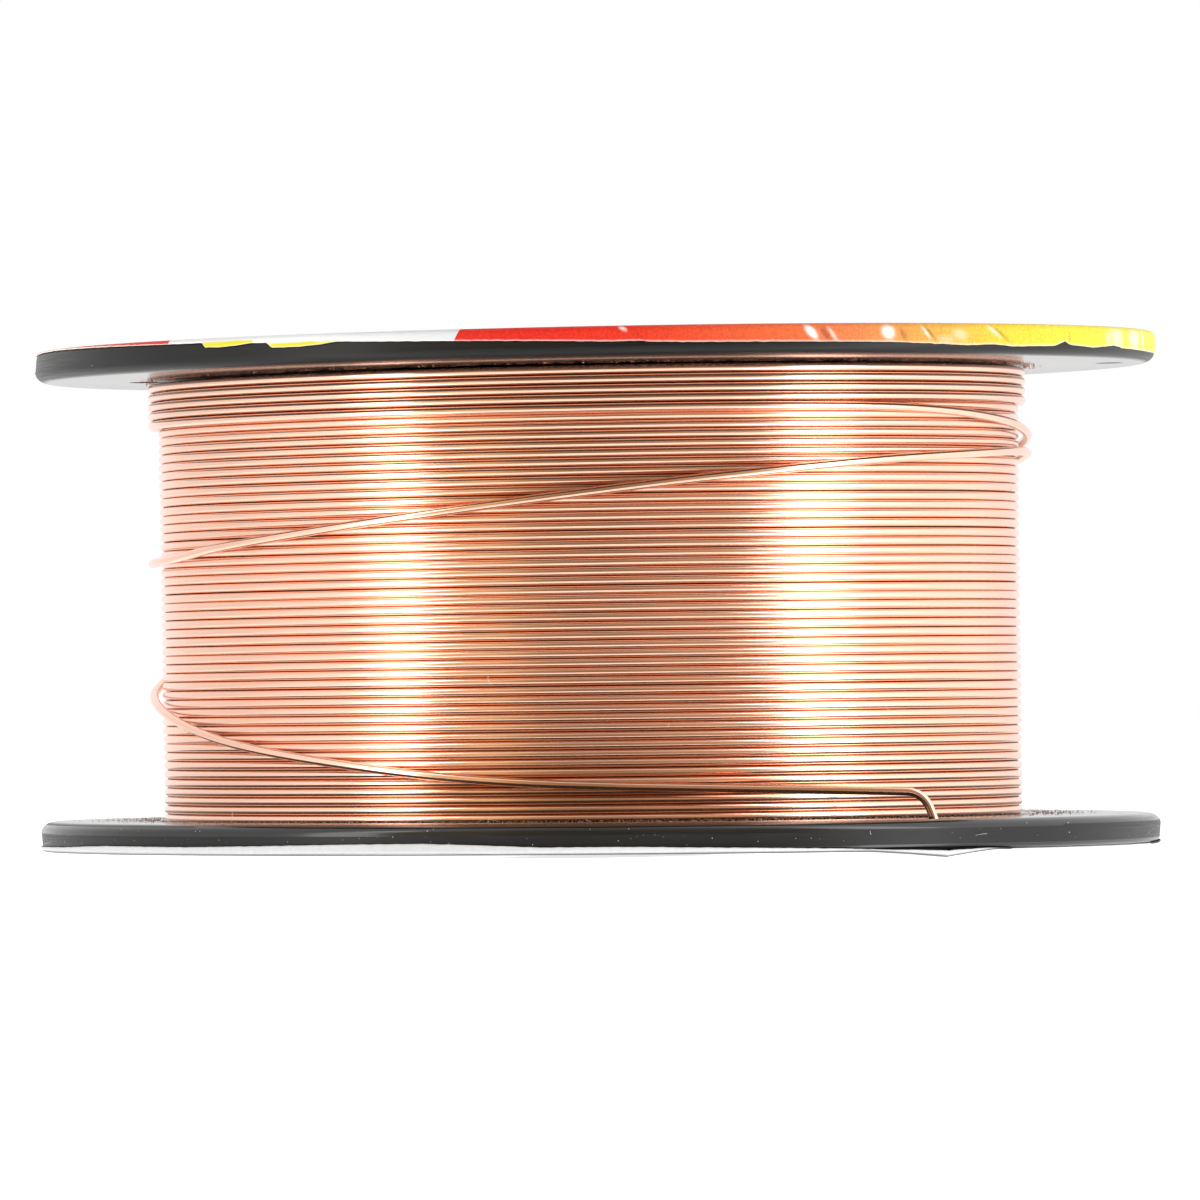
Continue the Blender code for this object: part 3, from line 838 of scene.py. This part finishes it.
def makePrintMaterial(name):
    material, tree = newMaterial(name)
    place = addNode(tree, "ShaderNodeTexCoord").outputs["Object"]
    height, angle = angleRound(tree, place)
    ink = coloursRound(tree, angle, printStops)
    slant = math.radians(whitePanel["slant"]) / mm
    slanted = addNode(tree, "ShaderNodeMath", {0: height, 1: -slant, 2: angle}, operation="MULTIPLY_ADD")
    before = addNode(tree, "ShaderNodeMath",
        {0: slanted, 1: math.radians(whitePanel["to"]) - slant * spoolWidth * mm}, operation="LESS_THAN")
    after = addNode(tree, "ShaderNodeMath",
        {0: angle, 1: math.radians(whitePanel["from"])}, operation="GREATER_THAN")
    panel = addNode(tree, "ShaderNodeMath", {0: before, 1: after}, operation="MULTIPLY")
    greying = addNode(tree, "ShaderNodeMapRange",
        {"Value": angle, "From Min": math.radians(whitePanel["greyFrom"]),
         "From Max": math.radians(whitePanel["to"])})
    panelColour = addNode(tree, "ShaderNodeMix",
        {0: greying, 6: linearColour(whitePanel["white"]), 7: linearColour(whitePanel["grey"])},
        data_type="RGBA")
    dots = addNode(tree, "ShaderNodeTexNoise",
        {"Vector": place, "Scale": 1 / (paperShape["printDot"] * mm), "Detail": 1.0})
    dotTone = addNode(tree, "ShaderNodeMapRange",
        {"Value": dots, "From Min": 0.35, "From Max": 0.65, "To Min": 0.72, "To Max": 0.92})
    grained = addNode(tree, "ShaderNodeVectorMath", {0: ink, 3: dotTone}, operation="SCALE")
    inked = addNode(tree, "ShaderNodeMix",
        {0: panel, 6: grained, 7: panelColour.outputs[2]}, data_type="RGBA")
    band = addNode(tree, "ShaderNodeAttribute", attribute_name="band")
    banded = addNode(tree, "ShaderNodeMix",
        {0: band.outputs["Fac"], 6: inked.outputs[2], 7: linearColour("#E3D52C")}, data_type="RGBA")
    # the print is whitened by wear and a painted highlight at the creases, and darkened as painted shade
    # where the value is below 0
    wearAndPaintedLight = addNode(tree, "ShaderNodeAttribute", attribute_name="wearAndPaintedLight")
    wearAndLightOnCrease = addNode(tree, "ShaderNodeMix",
        {0: wearAndPaintedLight.outputs["Fac"], 6: banded.outputs[2], 7: linearColour("#FFF8F0")}, data_type="RGBA")
    paintedCreaseShade = addNode(tree, "ShaderNodeMapRange",
        {"Value": wearAndPaintedLight.outputs["Fac"], "From Min": -1.0, "From Max": 0.0, "To Min": 0.45, "To Max": 1.0})
    finished = addNode(tree, "ShaderNodeVectorMath", {0: wearAndLightOnCrease.outputs[2], 3: paintedCreaseShade}, operation="SCALE")
    cockle = addNode(tree, "ShaderNodeTexNoise",
        {"Vector": place, "Scale": 1 / (paperShape["cockleSize"] * mm), "Detail": 3.0})
    bump = addNode(tree, "ShaderNodeBump",
        {"Height": cockle, "Strength": 0.7, "Distance": paperShape["cockleDepth"] * mm})
    surface = addNode(tree, "ShaderNodeBsdfPrincipled",
        {"Base Color": finished, "Roughness": 0.40, "IOR": 1.5, "Specular IOR Level": 0.25, "Normal": bump})
    addNode(tree, "ShaderNodeOutputMaterial", {0: surface})
    return material


def makePaperMaterial(name, colour, roughness):
    material, tree = newMaterial(name)
    place = addNode(tree, "ShaderNodeTexCoord").outputs["Object"]
    fibres = addNode(tree, "ShaderNodeTexNoise",
        {"Vector": place, "Scale": 1 / (paperShape["fibreSize"] * mm), "Detail": 4.0})
    tone = addNode(tree, "ShaderNodeMapRange",
        {"Value": fibres, "From Min": 0.3, "From Max": 0.7, "To Min": 0.95, "To Max": 1.02})
    paper = addNode(tree, "ShaderNodeVectorMath", {0: linearColour(colour)[:3], 3: tone}, operation="SCALE")
    # the band attribute mixes in a dark grey: painted shade along the fold
    bandShade = addNode(tree, "ShaderNodeAttribute", attribute_name="band")
    paperWithBandShade = addNode(tree, "ShaderNodeMix",
        {0: bandShade.outputs["Fac"], 6: paper, 7: linearColour("#4A4C50")}, data_type="RGBA")
    bump = addNode(tree, "ShaderNodeBump",
        {"Height": fibres, "Strength": 0.5, "Distance": paperShape["fibreDepth"] * mm})
    surface = addNode(tree, "ShaderNodeBsdfPrincipled",
        {"Base Color": paperWithBandShade.outputs[2], "Roughness": roughness, "IOR": 1.5, "Normal": bump})
    addNode(tree, "ShaderNodeOutputMaterial", {0: surface})
    return material


printedPaper = makePrintMaterial("coatedPaperPrinted")
# The lower label's paper is a light grey rather than white: painted shade.
whitePaper = makePaperMaterial("coatedPaperWhite", "#D2D4D6", 0.45)
cutPaperEdge = makePaperMaterial("paperCutEdge", "#F2E6DC", 0.7)
# the lower label's cut edge is a greyer paper: painted shade
shadedPaperEdge = makePaperMaterial("paperCutEdgeShaded", "#C9CACD", 0.7)


def thicken(piece, edgeMaterial):
    # thickness goes inwards, and the cut edge shows the bare paper
    piece.data.materials.append(edgeMaterial)
    solid = piece.modifiers.new("thickness", "SOLIDIFY")
    solid.thickness = paperShape["thickness"] * mm
    solid.offset = -1.0
    solid.material_offset = 1
    solid.material_offset_rim = 1
    solid.use_even_offset = False


upperLabel = placePiece("upperLabel",
                        makeLabel("upperLabel", spoolWidth, 1, upperSkirt, upperCreases, band=upperBand),
                        printedPaper)
thicken(upperLabel, cutPaperEdge)
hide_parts("upper_label")

lowerSkirt = [
    (-180, 0.9), (-150, 0.6), (-120, 0.8), (-90, 0.45), (-71.5, 0.55), (-64, 0.70), (-59.6, 0.77),
    (-45.5, 0.75),
    (-36.1, 0.86), (-26.3, 1.00), (-17.8, 1.05), (-12.0, 0.90), (-5.9, 0.68), (0.0, 0.69), (3.9, 0.67),
    (7.8, 0.60), (11.7, 0.55), (15.7, 0.49), (19.8, 0.41), (24.1, 0.32), (27.5, 0.20), (30.0, 0.26),
    (33.0, 0.42), (36.2, 0.57), (37.2, 0.56), (40.0, 0.33), (43.0, 0.12), (46.0, 0.0), (50, -0.15),
    (70, -0.15), (90, 0.25), (120, 0.7), (150, 0.95), (180, 0.9),
]
lowerCreases = [
    (-52, 0.8, 0.03, 0.4, 0.0, 0.5, 1.0), (-33, 1.0, 0.03, -0.4, 0.0, 0.5, 1.0),
    (-8, 0.8, 0.03, 0.5, 0.0, 0.5, 1.0), (13, 0.7, 0.03, 0.3, 0.0, 0.5, 1.0),
]
# The wire's end pokes through the flange and lifts the paper off it.
wireDent = {
    "angle": 36.6,
    "radius": 46.5,
    "reachLeft": 8.3,
    "reachRight": 5.6,
    "reachInward": 9.0,
    "depth": 0.56,
    "power": 1.25,
}
lowerLabel = placePiece("lowerLabel",
                        makeLabel("lowerLabel", 0.0, -1, lowerSkirt, lowerCreases, dent=wireDent),
                        whitePaper)
# the lower label's cut edge takes the greyer paper, as painted shade
thicken(lowerLabel, shadedPaperEdge)
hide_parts("lower_label")
print("labels made")


dust = {
    "faceHeight": 2.72,
    "flecks": 3400,
    "size": (0.04, 0.15),
    "specks": 420,
    "fibres": 84,
    "fibreThickness": 0.022,
    "fibreLength": (0.4, 1.3),
}


def moveInto(joined, mesh):
    joined.from_mesh(mesh)
    bpy.data.meshes.remove(mesh)


def scatterFlecks(name, chance, count, placeFleck):
    # made in batches, because each new fleck takes longer the more there are
    joined = bmesh.new()
    shape = bmesh.new()
    for index in range(count):
        if len(shape.verts) > 400:
            moveInto(joined, meshOf("batch", shape))
            shape = bmesh.new()
        place = placeFleck(chance)
        size = chance.uniform(*dust["size"])
        turn = Euler([chance.uniform(0, 6.28) for axis in range(3)]).to_matrix().to_4x4()
        stretch = Matrix.Diagonal((1.0, chance.uniform(0.4, 1.0), chance.uniform(0.3, 0.7), 1.0))
        bmesh.ops.create_cone(shape, cap_ends=True, segments=4, radius1=size / 2, radius2=size / 6,
                              depth=size * 0.7, matrix=Matrix.Translation(place) @ turn @ stretch)
    moveInto(joined, meshOf("batch", shape))
    return meshOf(name, joined)


def nearTheCoil(chance):
    radius = min(39.2 + abs(chance.gauss(0, 2.6)), 49.4)
    degrees = chance.uniform(-180, 180)
    return around(radius, degrees, dust["faceHeight"] + chance.uniform(0, 0.09), coil["sideways"] * 0.5)


def atTheTopGap(chance):
    radius = min(38.95 + abs(chance.gauss(0, 0.7)), 48.5)
    degrees = chance.uniform(-180, 180)
    height = spoolWidth - dust["faceHeight"] - 0.01 - chance.uniform(0, 0.10)
    return around(radius, degrees, height, coil["sideways"])


# Shaved copper and paper dust that settled while the wire was wound on, matt and mottled.
copperDust = makeMottledMaterial("copperDustMatt", "#8A5238", "#E0BCA2")
# a redder copy of the same dust for the flecks in the shade at the top gap, painted to undo the tint of the
# light there
shadedDust = makeMottledMaterial("copperDustShaded", "#A85238", "#E0A48A")
paleLint = makeMottledMaterial("cottonLintPale", "#D9D2CC", "#F7F4F0")


def onTheRims(chance):
    # a third of them lie on the lower face, and most of the rest on the lower rim
    if chance.random() < 0.35:
        radius = 39.7 + abs(chance.gauss(0, 2.0))
        return around(radius, chance.uniform(-180, 180), dust["faceHeight"] + 0.04, coil["sideways"])
    low = chance.random() < 0.75
    height = chance.uniform(0.8, 2.3) if low else chance.uniform(42.8, 43.4)
    onWidest = height < 1.8 or height > 43.2
    return around(49.98 if onWidest else 49.9, chance.uniform(-180, 180), height)


chance = random.Random(11)
lowerDust = placePiece("lowerDust", scatterFlecks("lowerDust", chance, dust["flecks"], nearTheCoil),
                       copperDust)
upperDust = placePiece("upperDust", scatterFlecks("upperDust", chance, dust["flecks"] * 2 // 3, atTheTopGap),
                       shadedDust)


def fibrePath(chance, start, outward):
    # a short curl lying on the surface
    direction = Vector((chance.uniform(-1, 1), chance.uniform(-1, 1), chance.uniform(-0.4, 0.4)))
    direction = (direction - outward * direction.dot(outward) * 0.8).normalized()
    bend = Vector([chance.uniform(-1, 1) for axis in range(3)]) * 0.5
    step = chance.uniform(*dust["fibreLength"]) / 8
    points = [start]
    for index in range(8):
        direction = (direction + bend).normalized()
        points.append(points[-1] + direction * step)
    return points


def makeFibres(name, chance):
    joined = bmesh.new()
    for index in range(dust["fibres"]):
        degrees = chance.uniform(-180, 180)
        kind = chance.random()
        if kind < 0.55:
            start = around(chance.uniform(39.6, 48.5), degrees, dust["faceHeight"] + 0.04)
            outward = Vector((0, 0, 1))
        elif kind < 0.8:
            start = around(50.03, degrees, chance.choice([0, 42]) + chance.uniform(0.9, 2.0))
            outward = around(1.0, degrees, 0.0)
        else:
            start = around(39.3, degrees, chance.uniform(4, 38), coil["sideways"])
            outward = around(1.0, degrees, 0.0)
        mesh = tubeMesh("fibre", fibrePath(chance, start, outward), dust["fibreThickness"], "MINIMUM", 0)
        moveInto(joined, mesh)
    return meshOf(name, joined)


specks = placePiece("specks", scatterFlecks("specks", random.Random(23), dust["specks"], onTheRims),
                    paleLint)
lint = placePiece("lint", makeFibres("lint", chance), paleLint)
print("dust and lint made")


studio = {
    "floorHeight": -0.85,
    "floorSize": 6000.0,
    "floorGlow": 0.75,
    "surround": 1.95,            # of the lightest wall
    "tableLight": 1.38,
    "tableEdge": -20.0,
    "ceilingEdge": 50.0,
    "ceilingShare": 0.27,
    "softened": 0.58,            # how much less of it matt surfaces get
    "boxHeight": 4600.0,
    "boxDistance": 1500.0,
    "boxMiddle": 22.0,
    "boxRadiance": 3.2,
}

# Degrees from the front and the colour of what stands there: white walls, and the dark room
# behind the camera, a little golden on its left
roomStops = [
    (-180, "#BFBFBF"), (-160, "#C4C4C4"), (-138, "#BDBDBD"), (-110, "#B8B8B8"), (-80, "#CDCDCD"),
    (-64, "#D4D4D4"), (-48, "#C8C0AF"), (-44, "#9B8B6E"), (-35, "#A79576"), (-28, "#AF9D7A"),
    (-20, "#857457"), (-8, "#6F614D"), (8, "#70624F"), (26, "#897763"), (38, "#8A7A66"),
    (47, "#8E8171"), (54, "#CECECE"), (60, "#FFFFFF"), (78, "#FFFFFF"), (105, "#DFDFDF"),
    (125, "#DADADA"), (150, "#C2C2C2"), (180, "#BFBFBF"),
]

floorShape = bmesh.new()
bmesh.ops.create_grid(floorShape, x_segments=1, y_segments=1, size=studio["floorSize"] / 2 * mm)
floorMesh = bpy.data.meshes.new("floor")
floorShape.to_mesh(floorMesh)
floorShape.free()
for vertex in floorMesh.vertices:
    vertex.co.z = studio["floorHeight"] * mm
# White acrylic sheet, lit a little from below as on a light table.
whiteAcrylic, acrylicTree = newMaterial("whiteAcrylicSheet")
acrylicSurface = addNode(acrylicTree, "ShaderNodeBsdfPrincipled",
    {"Base Color": linearColour("#F4F4F4"), "Roughness": 0.6, "Emission Color": linearColour("#FFFFFF"),
     "Emission Strength": studio["floorGlow"]})
addNode(acrylicTree, "ShaderNodeOutputMaterial", {0: acrylicSurface})
floorMesh.materials.append(whiteAcrylic)
floor = bpy.data.objects.new("floor", floorMesh)
world.collection.objects.link(floor)

# The wire mirrors the lit table round the spool rather than this sheet.
floor.visible_glossy = False
floor.visible_shadow = False


def makeSurround():
    surround = bpy.data.worlds.new("studio")
    surround.use_nodes = True
    tree = surround.node_tree
    tree.nodes.clear()
    direction = addNode(tree, "ShaderNodeTexCoord").outputs["Generated"]
    height, angle = angleRound(tree, direction)
    room = coloursRound(tree, angle, roomStops)
    lift = addNode(tree, "ShaderNodeMath", {0: height}, operation="ARCSINE")
    table = addNode(tree, "ShaderNodeMapRange",
        {"Value": lift, "From Min": math.radians(studio["tableEdge"] + 2),
         "From Max": math.radians(studio["tableEdge"] - 2)})
    ceiling = addNode(tree, "ShaderNodeMapRange",
        {"Value": lift, "From Min": math.radians(studio["ceilingEdge"] - 15),
         "From Max": math.radians(studio["ceilingEdge"] + 15), "To Max": studio["ceilingShare"]})
    white = addNode(tree, "ShaderNodeMath", {0: table, 1: ceiling}, operation="MAXIMUM")
    colour = addNode(tree, "ShaderNodeMix",
        {0: white, 6: room, 7: linearColour("#FFFFFF")}, data_type="RGBA")
    level = addNode(tree, "ShaderNodeMapRange",
        {"Value": table, "To Min": studio["surround"], "To Max": studio["tableLight"]})
    rays = addNode(tree, "ShaderNodeLightPath")
    softer = addNode(tree, "ShaderNodeMapRange",
        {"Value": rays.outputs["Is Diffuse Ray"], "To Min": 1.0, "To Max": 1 - studio["softened"]})
    strength = addNode(tree, "ShaderNodeMath", {0: level, 1: softer}, operation="MULTIPLY")
    lit = addNode(tree, "ShaderNodeBackground", {0: colour.outputs[2], 1: strength})
    seen = addNode(tree, "ShaderNodeBackground", {0: linearColour("#FFFFFF"), 1: 1.0})
    both = addNode(tree, "ShaderNodeMixShader", {0: rays.outputs["Is Camera Ray"], 1: lit, 2: seen})
    addNode(tree, "ShaderNodeOutputWorld", {0: both})
    return surround


world.world = makeSurround()

# Two tall softboxes stand in front, left and right: name, degrees from the front and width
for name, degrees, width in (("leftBox", -55.0, 385.0), ("rightBox", 65.8, 535.0)):
    lamp = bpy.data.lights.new(name, "AREA")
    lamp.shape = "RECTANGLE"
    lamp.size = width * mm
    lamp.size_y = studio["boxHeight"] * mm
    lamp.energy = studio["boxRadiance"] * math.pi * width * studio["boxHeight"] * mm * mm
    holder = bpy.data.objects.new(name, lamp)
    place = around(studio["boxDistance"], degrees, studio["boxMiddle"])
    holder.location = place * mm
    holder.rotation_euler = Vector((place.x, place.y, 0.0)).to_track_quat("Z", "Y").to_euler()
    world.collection.objects.link(holder)
world.view_settings.view_transform = "Standard"
print("floor and lights made")
